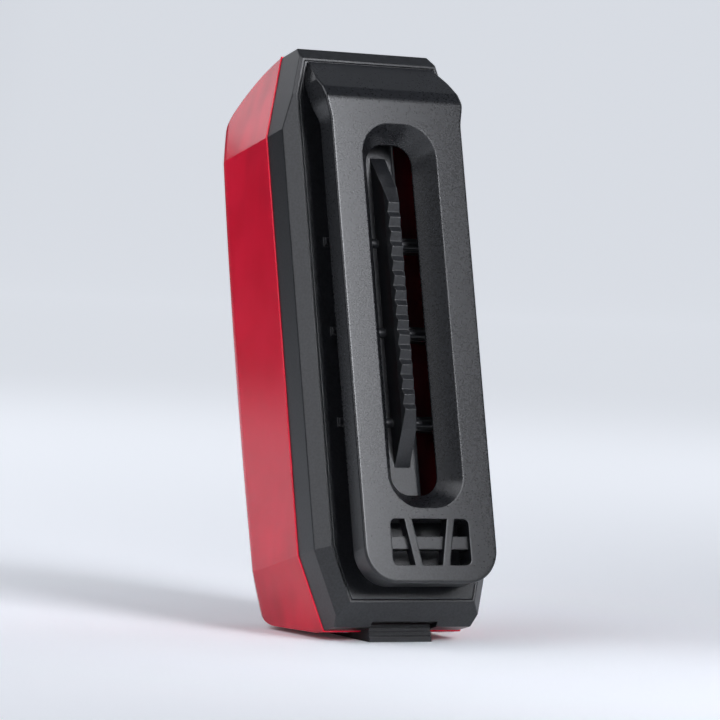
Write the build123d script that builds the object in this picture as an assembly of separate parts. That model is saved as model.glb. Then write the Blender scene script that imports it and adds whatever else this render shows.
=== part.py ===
from build123d import *
import math
import os

# A rechargeable bike rear light with a belt clip on its back. Lengths are in millimetres.
# The light is drawn upright: the back face is the plane Y = 0, the lens looks along -Y, the clip
# side is +Y, and Z = 0 is the lower edge of the back face. "Depth" is the distance in front of
# the back face. At the end everything is leaned onto the sloping foot, as the light stands.

# Outline seen from behind
body_width = 30.0
body_top = 85.6
top_taper_inset = 3.6
top_taper_height = 12.9
bottom_drop = 3.2
bottom_taper_inset = 3.3
bottom_taper_height = 11.4

# Rear housing
seam_depth = 6.9
edge_chamfer = 1.9
top_chamfer_rise = 2.0
taper_chamfer = 0.45
bottom_chamfer_depth = 3.5
housing_wall = 1.8
housing_ledge = 1.6
housing_edge_round = 0.3
recess_margin = 0.35
ledge_width = 1.6

# Lens
lens_wall = 1.6
front_depth = 31.2
crown_rise = 8.0
bow_radius = 600.0
bow_height = 38.0
lens_edge_round = 3.2
top_slope_start = 6.8
top_slope_turn = 75.0
top_slope_radius_share = 1.48
keel_flat_depth = 9.0
keel_rise = 5.5
keel_run = 23.0
boss_radius = 2.0
boss_inset = 5.4
boss_low = 5.0
boss_high = 75.0

# Back frame with its spine, bars and grip rib
frame_thickness = 1.8
frame_gap = 0.1
spine_width = 6.8
spine_round = 1.2
bay_inset = 6.0
bay_low = 12.4
bay_high = 71.6
bay_corner = 0.8
bar_low = 27.2
bar_pitch = 13.85
bar_count = 3
bar_height = 2.2
bar_rib_radius = 0.7
bar_rib_inset = 4.6
stake_radius = 1.2
stake_levels = (14.5, 34.0, 48.0, 65.0)
rib_low = 20.4
rib_high = 68.3
rib_rise = 4.1
rib_base_width = 2.6
rib_shoulder_width = 2.45
rib_crest_width = 1.8
rib_shoulder_drop = 1.05
tooth_first = 60.45
tooth_pitch = 2.28
tooth_count = 15
tooth_depth = 0.45
tooth_valley_share = 0.6
rib_top_knee = 63.1
rib_bottom_knee = 25.7

# Belt clip
clip_inset = 3.75
clip_shoulder_spread = 0.55
clip_root_inset = 0.45
clip_stand = 6.9
clip_thickness = 3.6
clip_low = 1.8
clip_root_top = 82.95
clip_root_thickness = 3.4
clip_shoulder_high = 79.0
clip_shoulder_low = 76.0
clip_straight_top = 71.8
clip_corner = 5.2
clip_ramp_out = 5.9
clip_ramp_drop = 5.4
clip_inner_ramp_drop = 7.6
clip_bend_radius = 1.7
clip_inner_bend_radius = 3.0
clip_edge_round = 0.35
root_gap = 0.2
knuckle_radius = 0.9
neck_height = 1.2
knuckle_depth = 0.35
knuckle_drop = 1.5
knuckle_clearance = 0.06
slot_low = 13.05
slot_high = 72.0
slot_width = 12.8
slot_corner = 5.2
slot_flare = 2.5
slot_inner_corner = 3.0
window_low = 4.45
window_height = 6.95
window_width = 13.3
window_corner = 0.9
window_bar_low = 6.95
window_bar_height = 1.95
window_bar_sink = 0.8
window_bar_thickness = 1.8
strut_width = 1.25
strut_thickness = 1.6
strut_top_side = 3.8
strut_bottom_side = 2.15

# Inner cover and gasket
cover_gap = 0.1
cover_thickness = 1.4
cover_margin = 2.0
skirt_margin = 3.0
skirt_wall = 1.2
skirt_gap = 1.9
gasket_gap = 0.05
gasket_height = 1.5
cover_boss_depth = 6.5
cover_boss_radius = 2.6
cover_screw_inset = 5.0
cover_screw_low = 10.4
cover_screw_high = 75.4

# Screws
screw_head_radius = 1.8
screw_head_height = 1.1
screw_radius = 1.0
screw_slack = 0.05
head_slack = 0.15
drive_radius = 0.75
drive_depth = 0.6
cover_screw_spare = 0.7
chassis_screw_length = 7.5
screw_hole_spare = 1.0

# Battery and its leads
pad_thickness = 1.0
pad_inset = 2.3
pad_height = 36.0
battery_inset = 5.2
battery_height = 44.0
battery_low = 14.0
battery_round = 0.8
lead_radius = 0.45
lead_side = 1.0
lead_bend = 1.1
plug_width = 6.0
plug_height = 4.0
plug_thickness = 3.2

# Chassis
chassis_thickness = 1.4
chassis_margin = 2.2
chassis_low = 2.2
chassis_high = 78.0
chassis_socket_notch = 8.2
post_radius = 2.0
battery_stop_height = 3.6
battery_stop_thickness = 0.8
battery_stop_side = 3.6
battery_stop_width = 4.2
stop_gap = 0.1

# Boards
board_thickness = 1.0
board_standoff = 1.2
board_inset = 6.5
board_neck_gap = 1.4
board_floor_gap = 0.35
board_high = 76.4
board_wide_low = 8.6
board_wide_high = 71.0
board_screw_inset = 7.8
board_screw_low = 17.0
board_screw_high = 61.0
standoff_radius = 1.9
led_board_thickness = 1.2
led_board_inset = 5.8
led_board_low = 14.0
led_board_high = 66.0
header_width = 8.0
header_height = 3.0

# Optics
led_count = 5
led_pitch = 10.0
led_first = 20.0
led_size = 3.4
led_height = 1.0
dome_radius = 1.3
optics_gap = 7.1
battery_share = 0.448
board_gap_share = 0.194
bowl_back_radius = 2.5
bowl_front_radius = 4.3
screw_pocket_radius = 2.1
diffuser_thickness = 0.8
diffuser_inset = 1.2
diffuser_low = 15.0
diffuser_high = 65.0
guide_gap = 0.9
guide_thickness = 1.9
guide_low = 12.0
guide_high = 72.2
guide_front_gap = 2.6
guide_corner_share = 0.9

# Socket and its rubber cover
socket_width = 8.9
socket_thickness = 3.2
socket_height = 7.3
socket_corner = 1.4
socket_wall = 0.3
tongue_width = 6.6
tongue_thickness = 0.7
tongue_drop = 0.8
port_slack = 0.4
tab_depth = 4.6
tab_drop = 5.3
cover_end_inset = 4.2
cover_end_proud = 0.5
cover_strip_width = 10.6
channel_depth = 0.7
channel_slack = 0.3
strip_gap = 0.15
anchor_length = 3.6
anchor_gap = 0.3
anchor_stem_inset = 1.2
anchor_stem_radius = 0.9
anchor_head_radius = 1.4
anchor_head_height = 0.8
bung_slack = 0.35
bung_corner = 0.9
bung_rise = 1.3
grip_groove = 0.35
groove_shares = (0.35, 0.6, 0.85)

# Power button
button_width = 9.0
button_length = 5.0
button_proud = 0.4
button_slack = 0.15
flange_margin = 1.0
flange_thickness = 0.8
flange_level = 78.2
flange_gap = 0.05
plunger_radius = 1.2
plunger_length = 1.8
button_travel = 0.5
switch_spare = 0.1
switch_width = 6.0
switch_depth = 3.5
switch_height = 2.8
switch_stem_height = 0.7
stem_radius = 0.8
seal_inner_slack = 0.1

# One overrun serves every cut
overrun = 2.0

body_half = body_width / 2
top_half = body_half - top_taper_inset
bottom_half = body_half - bottom_taper_inset
side_depth = front_depth - crown_rise
top_slope_radius = top_slope_radius_share * (front_depth - seam_depth)
boss_side = body_half - boss_inset
cover_screw_side = boss_side - cover_screw_inset
clip_half = body_half - clip_inset
shoulder_half = clip_half + clip_shoulder_spread
root_half = clip_half - clip_root_inset
battery_half = body_half - battery_inset
board_half = body_half - board_inset
board_neck_half = boss_side - boss_radius - board_neck_gap
board_screw_side = body_half - board_screw_inset
led_board_half = body_half - led_board_inset
cover_end_depth = front_depth - cover_end_inset
frame_front = frame_thickness
cover_back = frame_thickness + housing_ledge + cover_gap
cover_front = cover_back + cover_thickness
battery_back = cover_front + pad_thickness

# The battery, the gap between the boards and the reflector share the depth that the plates leave
plates = chassis_thickness + board_standoff + board_thickness + led_board_thickness
reflector_front = front_depth - optics_gap
free_depth = reflector_front - battery_back - plates
battery_thickness = battery_share * free_depth
led_board_gap = board_gap_share * free_depth
chassis_back = battery_back + battery_thickness
chassis_front = chassis_back + chassis_thickness
board_back = chassis_front + board_standoff
board_front = board_back + board_thickness
led_board_back = board_front + led_board_gap
led_board_front = led_board_back + led_board_thickness
skirt_depth = chassis_back - skirt_gap
socket_middle = board_back - socket_thickness / 2
button_middle = board_front + switch_depth / 2
keel_slope = keel_rise / keel_run
board_floor = -bottom_drop + keel_slope * max(board_front - keel_flat_depth, 0) + lens_wall
board_low = board_floor + board_floor_gap
socket_low = board_low


def block(x_low, x_high, depth_back, depth_front, z_low, z_high):
    """A box between two sides, two depths and two heights."""
    size = Box(x_high - x_low, depth_front - depth_back, z_high - z_low)
    return Pos((x_low + x_high) / 2, -(depth_back + depth_front) / 2, (z_low + z_high) / 2) * size


def from_behind(sketch, depth_back, depth_front):
    """Extrude a sketch drawn in X and Z from one depth to another."""
    placed = Plane.XZ.offset(depth_back) * sketch
    return extrude(placed, amount=depth_front - depth_back, dir=(0, -1, 0))


def from_side(sketch, x_low, x_high):
    """Extrude a sketch drawn in Y and Z across the light."""
    placed = Plane.YZ.offset(x_low) * sketch
    return extrude(placed, amount=x_high - x_low, dir=(1, 0, 0))


def rod(x, z, radius, depth_back, depth_front):
    """A round rod that runs from back to front."""
    return from_behind(Pos(x, z) * Circle(radius), depth_back, depth_front)


def mirrored(shape):
    """A shape on the right and its mirror image on the left."""
    return shape + mirror(shape, Plane.YZ)


def outline_corners():
    """Corners of the right half of the body's outline, from the top middle down."""
    return [
        (0, body_top),
        (top_half, body_top),
        (body_half, body_top - top_taper_height),
        (body_half, bottom_taper_height - bottom_drop),
        (bottom_half, -bottom_drop),
        (0, -bottom_drop),
    ]


def two_sided(points):
    """A face from the corners of its right half, without the points on the middle line."""
    return Polygon(*points, *[(-x, z) for x, z in reversed(points)], align=None)


def outline_face(inset=0):
    """The eight-sided outline of the body, seen from behind."""
    face = two_sided(outline_corners()[1:-1])
    return offset(face, amount=-inset, kind=Kind.INTERSECTION) if inset else face


def chamfers():
    """Inset and depth of the back's chamfer along each edge of the outline, from the top down."""
    return [
        (top_chamfer_rise, edge_chamfer),
        (taper_chamfer, taper_chamfer),
        (edge_chamfer, edge_chamfer),
        (edge_chamfer, edge_chamfer),
        (bottom_drop, bottom_chamfer_depth),
    ]


def moved_inward(start, end, inset):
    """An edge of the right half moved towards the middle of the outline."""
    along = Vector(end[0] - start[0], end[1] - start[1]).normalized()
    inward = Vector(along.Y, -along.X) * inset
    return (Vector(*start) + inward, Vector(*end) + inward)


def meeting_point(first, second):
    """Where the lines through two edges cross."""
    p, q = first
    r, t = second
    a = q - p
    b = t - r
    share = ((r - p).X * b.Y - (r - p).Y * b.X) / (a.X * b.Y - a.Y * b.X)
    point = p + a * share
    return (point.X, point.Y)


def back_face(inset=0):
    """The outline of the flat back, inside the chamfers."""
    corners = outline_corners()
    edges = zip(corners, corners[1:], chamfers())
    lines = [moved_inward(start, end, size) for start, end, (size, depth) in edges]
    face = two_sided([meeting_point(a, b) for a, b in zip(lines, lines[1:])])
    return offset(face, amount=-inset, kind=Kind.INTERSECTION) if inset else face


def ring(outer, inner, depth_back, depth_front):
    """The wall between two outlines."""
    return from_behind(outer, depth_back, depth_front) - from_behind(inner, depth_back, depth_front)


# Lens
def keel_level(depth):
    """Height of the lens's underside at a depth."""
    return -bottom_drop + keel_slope * max(depth - keel_flat_depth, 0)


def lens_form(inset=0, depth_back=seam_depth):
    """The solid form of the lens, or of its hollow when inset by the wall."""
    prism = from_behind(outline_face(inset), depth_back, front_depth + overrun)
    top = body_top - inset
    slope = math.radians(top_slope_start)
    start = (-seam_depth, top)
    heading = (-math.cos(slope), -math.sin(slope))
    arc = JernArc(start, heading, top_slope_radius - inset, top_slope_turn)
    far = arc @ 1 + (arc % 1) * body_width
    back_high = (-depth_back, top)
    back_low = (-depth_back, -bottom_drop + inset)
    flat = (-keel_flat_depth, -bottom_drop + inset)
    low = (far.X, keel_level(-far.X) + inset)
    edges = [arc, Line(arc @ 1, far), Line(far, low), Line(low, flat), Line(flat, back_low)]
    if depth_back < seam_depth:
        edges += [Line(back_low, back_high), Line(back_high, start)]
    else:
        edges += [Line(back_low, start)]
    side = from_side(make_face(Curve() + edges), -body_width, body_width)
    crown_radius = (body_half**2 + crown_rise**2) / (2 * crown_rise)
    centre = crown_radius - front_depth
    nose = Pos(0, centre) * Circle(crown_radius - inset)
    tail = Pos(0, (centre + overrun) / 2) * Rectangle(2 * (crown_radius - inset), overrun - centre)
    plan = Pos(0, 0, bow_height) * (nose + tail)
    axis = Axis((0, bow_radius - front_depth, bow_height), (1, 0, 0))
    swing = math.degrees(body_top / (bow_radius - front_depth))
    bow = revolve(plan, axis, revolution_arc=2 * swing).rotate(axis, -swing)
    return prism & side & bow


def rounded_front(body, radius):
    """A lens form with the edges around its front rounded."""
    middle = (seam_depth + side_depth) / 2
    edges = [edge for edge in body.edges() if max(end.Y for end in edge.vertices()) < -middle]
    return fillet(edges, radius)


def port_hole():
    """The opening for the socket in the lens's underside."""
    sketch = RectangleRounded(
        socket_width + 2 * port_slack, socket_thickness + 2 * port_slack, socket_corner
    )
    hole = extrude(Pos(0, -socket_middle, -tab_drop) * sketch, amount=tab_drop + socket_low)
    return hole


def cover_channel(side_gap, top_gap, depth_back, depth_front):
    """The space for the rubber strip along the underside, up to a gap from its ceiling."""
    half = cover_strip_width / 2 + side_gap
    depths = [depth_back, depth_front]
    if depth_back < keel_flat_depth < depth_front:
        depths.insert(1, keel_flat_depth)
    ceiling = [(-depth, keel_level(depth) + channel_depth - top_gap) for depth in depths]
    floor = [(-depth, foot_level(depth) - overrun) for depth in (depth_front, depth_back)]
    return from_side(Polygon(*ceiling, *floor, align=None), -half, half)


def foot_level(depth):
    """Height of the foot's flat underside at a depth: the surface that the light stands on."""
    return -tab_drop + (depth - tab_depth) * math.tan(foot_angle())


def foot_angle():
    """Slope of the foot's underside, and so the lean of the standing light."""
    end_level = keel_level(cover_end_depth) - cover_end_proud
    return math.atan2(end_level + tab_drop, cover_end_depth - tab_depth)


def button_shaft(slack, z_low, z_high):
    """The upright column of the power button, widened by a slack."""
    sketch = SlotOverall(button_width + 2 * slack, button_length + 2 * slack)
    return extrude(Pos(0, -button_middle, z_low) * sketch, amount=z_high - z_low)


def boss_places():
    """Side and height of the four screw bosses inside the lens."""
    return four_places(boss_side, boss_low, boss_high)


def lens_cavity():
    """The hollow of the lens, less the screw bosses that stand on its front wall."""
    cavity = rounded_front(lens_form(lens_wall, seam_depth - overrun), lens_edge_round - lens_wall)
    for x, z in boss_places():
        cavity -= rod(x, z, boss_radius, chassis_front, front_depth + overrun)
    return cavity


def make_lens():
    shell = rounded_front(lens_form(), lens_edge_round) - lens_cavity()
    hole_end = chassis_back + chassis_screw_length + screw_hole_spare
    for x, z in boss_places():
        shell -= rod(x, z, screw_radius + screw_slack, chassis_front, hole_end)
    shell -= cover_channel(channel_slack, 0, seam_depth - overrun, cover_end_depth + channel_slack)
    shell -= port_hole()
    shell -= anchor_hole()
    shell -= button_shaft(button_slack, flange_level, body_top)
    return shell


# Rear housing
def chamfer_plane(start, end, inset, depth):
    """The plane of one chamfer of the back, with the body on the side that it faces."""
    first, second = moved_inward(start, end, inset)
    corner = Vector(start[0], -depth, start[1])
    along = Vector(end[0] - start[0], 0, end[1] - start[1])
    normal = Vector(first.X - start[0], depth, first.Y - start[1]).cross(along)
    return Plane(corner, x_dir=along, z_dir=normal)


def housing_form():
    """The outer form of the rear housing with its chamfers."""
    body = from_behind(outline_face(), 0, seam_depth)
    corners = outline_corners()
    for start, end, (inset, depth) in zip(corners, corners[1:], chamfers()):
        plane = chamfer_plane(start, end, inset, depth)
        body = split(body, bisect_by=plane, keep=Keep.TOP)
        if start[0] and end[0]:
            body = mirror(split(mirror(body, Plane.YZ), bisect_by=plane, keep=Keep.TOP), Plane.YZ)
    return body


def rounded_housing():
    """The rear housing's form with the edges of its back eased."""
    body = housing_form()
    edges = [edge for edge in body.edges() if -seam_depth < edge.center().Y < 0]
    return fillet(edges, housing_edge_round)


def make_rear_housing():
    shell = rounded_housing()
    shell -= from_behind(outline_face(housing_wall), frame_front + housing_ledge, seam_depth + overrun)
    shell -= from_behind(back_face(recess_margin), -overrun, frame_front)
    shell -= from_behind(back_face(recess_margin + ledge_width), 0, seam_depth)
    shell -= cover_channel(channel_slack, 0, bottom_chamfer_depth / 2, seam_depth + overrun)
    return shell


# Back frame
def bay_levels():
    """Lower and upper height of each row of bays between the bars."""
    bars = [bar_low + bar_pitch * i for i in range(bar_count)]
    lows = [bay_low] + [z + bar_height / 2 for z in bars]
    highs = [z - bar_height / 2 for z in bars] + [bay_high]
    return list(zip(lows, highs))


def bays():
    """The open bays on both sides of the spine."""
    inner_half = spine_width / 2 - spine_round
    width = body_half - bay_inset - inner_half
    middle = inner_half + width / 2
    cut = Part()
    for low, high in bay_levels():
        sketch = Pos(middle, (low + high) / 2) * RectangleRounded(width, high - low, bay_corner)
        cut += mirrored(from_behind(sketch, -overrun, frame_front + overrun))
    return cut


def spine():
    """The spine, with its two outer edges rounded."""
    half = spine_width / 2
    low = (-half, -frame_thickness)
    right = (half, -frame_thickness)
    side = Line(right, (half, -spine_round))
    turn = RadiusArc((half, -spine_round), (half - spine_round, 0), -spine_round)
    top = Line((half - spine_round, 0), (spine_round - half, 0))
    turn_left = RadiusArc((spine_round - half, 0), (-half, -spine_round), -spine_round)
    side_left = Line((-half, -spine_round), low)
    section = make_face(Curve() + [side, turn, top, turn_left, side_left, Line(low, right)])
    return extrude(Pos(0, 0, bay_low - bay_corner) * section, amount=bay_high - bay_low + 2 * bay_corner)


def rib_profile():
    """Side view of the grip rib: a ramp at each end and a row of teeth between."""
    points = [(0, rib_low), (rib_rise - rib_shoulder_drop, rib_bottom_knee)]
    for i in reversed(range(tooth_count)):
        crest = tooth_first - tooth_pitch * i
        points.append((rib_rise, crest))
        if i:
            valley = crest + tooth_pitch * (1 - tooth_valley_share)
            points.append((rib_rise - tooth_depth, valley))
    points += [(rib_rise - rib_shoulder_drop, rib_top_knee), (0, rib_high)]
    sink = -frame_thickness / 2
    return Polygon((sink, rib_low), *points, (sink, rib_high), align=None)


def grip_rib():
    """The toothed rib down the middle, narrower at its crest."""
    rib = from_side(rib_profile(), -rib_base_width / 2, rib_base_width / 2)
    right = [
        (rib_base_width / 2, -frame_thickness),
        (rib_base_width / 2, 0),
        (rib_shoulder_width / 2, rib_rise - rib_shoulder_drop),
        (rib_crest_width / 2, rib_rise),
    ]
    section = Polygon(*right, *[(-x, y) for x, y in reversed(right)], align=None)
    return rib & extrude(Pos(0, 0, rib_low) * section, amount=rib_high - rib_low)


def bar_ribs():
    """A half-round rib on each cross bar."""
    ribs = Part()
    for i in range(bar_count):
        middle = Pos(0, 0, bar_low + bar_pitch * i)
        ribs += middle * Rot(0, 90, 0) * Cylinder(bar_rib_radius, 2 * (body_half - bar_rib_inset))
    return ribs


def stakes(slack):
    """Pegs under the spine that hold the frame to the inner cover."""
    pegs = Part()
    for z in stake_levels:
        pegs += rod(0, z, stake_radius + slack, frame_front, cover_front)
    return pegs


def knuckle_axis():
    """Y and Z of the line that the clip bends about."""
    return -knuckle_depth, clip_root_top - knuckle_drop


def knuckle(radius, width):
    y, z = knuckle_axis()
    return Pos(0, y, z) * Rot(0, 90, 0) * Cylinder(radius, width)


def knuckle_mouth(slack):
    """The neck between the clip and its knuckle."""
    y, z = knuckle_axis()
    half = neck_height / 2 + slack
    wide = root_half + slack
    return block(-wide, wide, -root_gap - slack, -y, z - half, z + half)


def make_back_frame():
    plate = from_behind(back_face(recess_margin + frame_gap), 0, frame_front)
    plate -= bays()
    plate += spine()
    ribs = bar_ribs() & from_behind(back_face(recess_margin + frame_gap), -bar_rib_radius, frame_front)
    plate += ribs + grip_rib() + stakes(0)
    plate -= knuckle(knuckle_radius + knuckle_clearance, 2 * (root_half + knuckle_clearance))
    plate -= knuckle_mouth(knuckle_clearance)
    return plate


# Belt clip
def clip_side():
    """Side view of the clip: root, ramp and flat arm."""
    top_drop = clip_ramp_drop
    inner_stand = clip_stand - clip_thickness
    inner_top = clip_root_top - clip_root_thickness
    bend = clip_bend_radius
    inner_bend = clip_inner_bend_radius
    outer = FilletPolyline(
        (root_gap, clip_root_top),
        (clip_ramp_out, clip_root_top - top_drop),
        (clip_stand, clip_root_top - top_drop - bend),
        (clip_stand, clip_low),
        radius=bend,
    )
    inner = FilletPolyline(
        (inner_stand, clip_low),
        (inner_stand, clip_root_top - clip_inner_ramp_drop - inner_bend),
        (root_gap, inner_top),
        radius=inner_bend,
    )
    foot = Line((clip_stand, clip_low), (inner_stand, clip_low))
    head = Line((root_gap, inner_top), (root_gap, clip_root_top))
    return make_face(Curve() + [outer, foot, inner, head])


def clip_outline():
    """The clip seen from behind, with its shoulders and rounded free end."""
    right = Polyline((clip_half, clip_straight_top), (clip_half, clip_low + clip_corner))
    turn_end = clip_half - clip_corner
    corner = RadiusArc((clip_half, clip_low + clip_corner), (turn_end, clip_low), clip_corner)
    bottom = Line((turn_end, clip_low), (0, clip_low))
    top = Line((0, clip_root_top), (root_half, clip_root_top))
    flank = Line((root_half, clip_root_top), (shoulder_half, clip_shoulder_high))
    shoulder = Line((shoulder_half, clip_shoulder_high), (shoulder_half, clip_shoulder_low))
    waist = Spline(
        (shoulder_half, clip_shoulder_low), (clip_half, clip_straight_top), tangents=((0, -1), (0, -1))
    )
    middle = Line((0, clip_low), (0, clip_root_top))
    edges = [top, flank, shoulder, waist, right, corner, bottom, middle]
    half_face = make_face(Curve() + edges)
    return half_face + mirror(half_face, Plane.YZ)


def slot_cut():
    """The long slot, flared towards the outside."""
    height = slot_high - slot_low
    middle = (slot_high + slot_low) / 2
    flare = 2 * slot_flare
    outer = Pos(0, middle) * RectangleRounded(slot_width, height, slot_corner)
    inner = Pos(0, middle) * RectangleRounded(slot_width - flare, height - flare, slot_inner_corner)
    inner_stand = clip_stand - clip_thickness
    outer_face = (Plane.XZ.offset(-clip_stand) * outer).face()
    inner_face = (Plane.XZ.offset(-inner_stand) * inner).face()
    flared = loft([outer_face, inner_face], ruled=True)
    return flared + from_behind(inner, -inner_stand, 0)


def strut():
    """One slanting strut of the clip's window, on the right."""
    top = window_low + window_height + window_corner
    low = window_low - window_corner
    half = strut_width / 2
    points = [
        (strut_top_side - half, top),
        (strut_top_side + half, top),
        (strut_bottom_side + half, low),
        (strut_bottom_side - half, low),
    ]
    return from_behind(Polygon(*points, align=None), -clip_stand, strut_thickness - clip_stand)


def clip_window():
    middle = window_low + window_height / 2
    sketch = Pos(0, middle) * RectangleRounded(window_width, window_height, window_corner)
    return from_behind(sketch, -clip_stand - overrun, 0)


def window_bar():
    """The cross bar, sunk a little below the clip's outer face."""
    half = (window_width + window_corner) / 2
    back = window_bar_sink - clip_stand
    low = window_bar_low
    return block(-half, half, back, back + window_bar_thickness, low, low + window_bar_height)


def make_belt_clip():
    arm = from_side(clip_side(), -body_half, body_half)
    arm &= from_behind(clip_outline(), -clip_stand - overrun, overrun)
    rim = [
        edge
        for edge in arm.edges()
        if edge.center().Y > clip_ramp_out and edge.center().Z < clip_straight_top
    ]
    arm = fillet(rim, clip_edge_round)
    arm -= slot_cut()
    arm -= clip_window()
    arm += window_bar() + mirrored(strut())
    neck = knuckle_mouth(0)
    return arm + neck + knuckle(knuckle_radius, 2 * root_half)


# Inner cover and gasket
def four_places(side, low, high):
    """Side and height of four screws, one in each corner."""
    return [(x, z) for x in (-side, side) for z in (low, high)]


def cover_screw_places():
    return four_places(cover_screw_side, cover_screw_low, cover_screw_high)


def make_inner_cover():
    plate = from_behind(outline_face(cover_margin), cover_back, cover_front)
    skirt = ring(
        outline_face(skirt_margin), outline_face(skirt_margin + skirt_wall), cover_front, skirt_depth
    )
    body = plate + skirt
    head_space = screw_head_height + cover_gap
    for x, z in cover_screw_places():
        body += rod(x, z, cover_boss_radius, cover_front, cover_boss_depth)
        body -= rod(x, z, screw_head_radius + head_slack, cover_back - overrun, cover_back + head_space)
        body -= rod(x, z, screw_radius + screw_slack, cover_back, cover_boss_depth + overrun)
    return body - stakes(screw_slack)


def make_body_gasket():
    outer = outline_face(lens_wall + gasket_gap)
    inner = outline_face(skirt_margin - gasket_gap)
    band = ring(outer, inner, seam_depth + gasket_gap, seam_depth + gasket_height)
    return band & lens_form(lens_wall + gasket_gap)


# Screws
def screw(x, z, head_depth, length):
    """A pan-head screw whose head starts at a depth and whose shank runs forward."""
    seat = head_depth + screw_head_height
    drive = rod(x, z, drive_radius, head_depth - overrun, head_depth + drive_depth)
    shank = rod(x, z, screw_radius, seat, seat + length)
    return rod(x, z, screw_head_radius, head_depth, seat) + shank - drive


def make_cover_screws():
    head = cover_back + cover_gap
    length = chassis_back - cover_screw_spare - head - screw_head_height
    return Compound([screw(x, z, head, length) for x, z in cover_screw_places()])


def make_chassis_screws():
    head = chassis_back - screw_head_height
    return Compound([screw(x, z, head, chassis_screw_length) for x, z in boss_places()])


def board_screw_places():
    return four_places(board_screw_side, board_screw_low, board_screw_high)


def board_screw(x, z):
    """A screw whose head sits on the front of the LED board."""
    head = rod(x, z, screw_head_radius, led_board_front, led_board_front + screw_head_height)
    shank = rod(x, z, screw_radius, chassis_front, led_board_front)
    front = led_board_front + screw_head_height
    return head + shank - rod(x, z, drive_radius, front - drive_depth, front + overrun)


def make_board_screws():
    return Compound([board_screw(x, z) for x, z in board_screw_places()])


# Battery
def make_battery():
    middle = Pos(0, -battery_back - battery_thickness / 2, battery_low + battery_height / 2)
    cell = middle * Box(2 * battery_half, battery_thickness, battery_height)
    return fillet(cell.edges().filter_by(Axis.Z), battery_round)


def make_battery_pad():
    middle = battery_low + battery_height / 2
    half = battery_half - pad_inset
    return block(-half, half, cover_front, battery_back, middle - pad_height / 2, middle + pad_height / 2)


def plug_low():
    """Height of the battery plug's lower face."""
    return battery_low + battery_height + plug_thickness + 2 * lead_bend


def make_battery_plug():
    half = plug_width / 2
    low = plug_low()
    return block(-half, half, board_back - plug_thickness, board_back, low, low + plug_height)


def make_battery_lead(side):
    """One battery lead, from the cell's top to the plug."""
    top = battery_low + battery_height
    cell_y = -(battery_back + battery_thickness / 2)
    plug_y = -(board_back - plug_thickness / 2)
    middle = (top + plug_low()) / 2
    path = FilletPolyline(
        (side, cell_y, top), (side, cell_y, middle), (side, plug_y, middle), (side, plug_y, plug_low()),
        radius=lead_bend,
    )
    section = Plane((side, cell_y, top)) * Circle(lead_radius)
    return sweep(section, path=path)


# Chassis
def battery_stops():
    """Ribs that keep the battery in place at its two ends."""
    top = battery_low + battery_height + stop_gap
    low = battery_low - stop_gap - battery_stop_thickness
    back = chassis_back - battery_stop_height
    left = battery_stop_side
    right = battery_stop_side + battery_stop_width
    stops = Part()
    for z in (low, top):
        stops += mirrored(block(left, right, back, chassis_back, z, z + battery_stop_thickness))
    return stops


def make_chassis():
    plate = from_behind(outline_face(chassis_margin), chassis_back, chassis_front)
    plate &= block(-body_half, body_half, chassis_back, chassis_front, chassis_low, chassis_high)
    notch = (socket_width + flange_margin) / 2
    plate -= block(-notch, notch, chassis_back, chassis_front, 0, chassis_socket_notch)
    window = plug_width / 2 + flange_margin
    low = battery_low + battery_height + battery_stop_thickness + 2 * stop_gap
    high = plug_low() + plug_height + flange_margin
    plate -= block(-window, window, chassis_back, chassis_front, low, high)
    plate += battery_stops()
    hole = screw_radius + screw_slack
    for x, z in cover_screw_places():
        plate += rod(x, z, post_radius, cover_boss_depth, chassis_back)
        plate -= rod(x, z, hole, cover_boss_depth - overrun, chassis_back)
    for x, z in boss_places():
        plate -= rod(x, z, hole, chassis_back - overrun, chassis_front + overrun)
    for x, z in board_screw_places():
        plate += rod(x, z, standoff_radius, chassis_front, board_back)
        plate -= rod(x, z, hole, chassis_front, board_back + overrun)
    return plate


# Boards and what they carry
def make_main_board():
    board = block(-board_half, board_half, board_back, board_front, board_wide_low, board_wide_high)
    board += block(-board_neck_half, board_neck_half, board_back, board_front, board_low, board_high)
    for x, z in board_screw_places():
        board -= rod(x, z, screw_radius + screw_slack, board_back - overrun, board_front + overrun)
    return board


def make_board_chips():
    """Controller, charger and coil on the front of the main board: side, height, width, length, depth."""
    unit = header_height
    front = board_front
    chips = []
    for x_share, z_share, width_share, height_share, depth_share in chip_shares:
        x = x_share * board_half
        z = board_wide_low + z_share * (board_wide_high - board_wide_low)
        half = width_share * unit / 2
        tall = height_share * unit / 2
        proud = front + depth_share * led_board_gap
        chips.append(block(x - half, x + half, front, proud, z - tall, z + tall))
    return Compound(chips)


chip_shares = (
    (-0.3, 0.28, 1.6, 1.6, 0.4),
    (0.4, 0.32, 1.0, 1.4, 0.4),
    (0.35, 0.7, 1.3, 1.3, 0.8),
    (-0.4, 0.66, 0.7, 1.0, 0.5),
    (-0.35, 0.8, 0.7, 0.5, 0.4),
)


def make_board_header():
    half = header_width / 2
    low = (led_board_low + led_board_high - header_height) / 2
    return block(-half, half, board_front, led_board_back, low, low + header_height)


def make_board_spacers():
    spacers = []
    for x, z in board_screw_places():
        tube = rod(x, z, standoff_radius, board_front, led_board_back)
        spacers.append(tube - rod(x, z, screw_radius + screw_slack, board_front, led_board_back))
    return Compound(spacers)


def make_led_board():
    half = led_board_half
    board = block(-half, half, led_board_back, led_board_front, led_board_low, led_board_high)
    for x, z in board_screw_places():
        board -= rod(x, z, screw_radius + screw_slack, led_board_back, led_board_front)
    return board


def led_levels():
    return [led_first + led_pitch * i for i in range(led_count)]


def make_leds():
    half = led_size / 2
    front = led_board_front + led_height
    return Compound([block(-half, half, led_board_front, front, z - half, z + half) for z in led_levels()])


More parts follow.
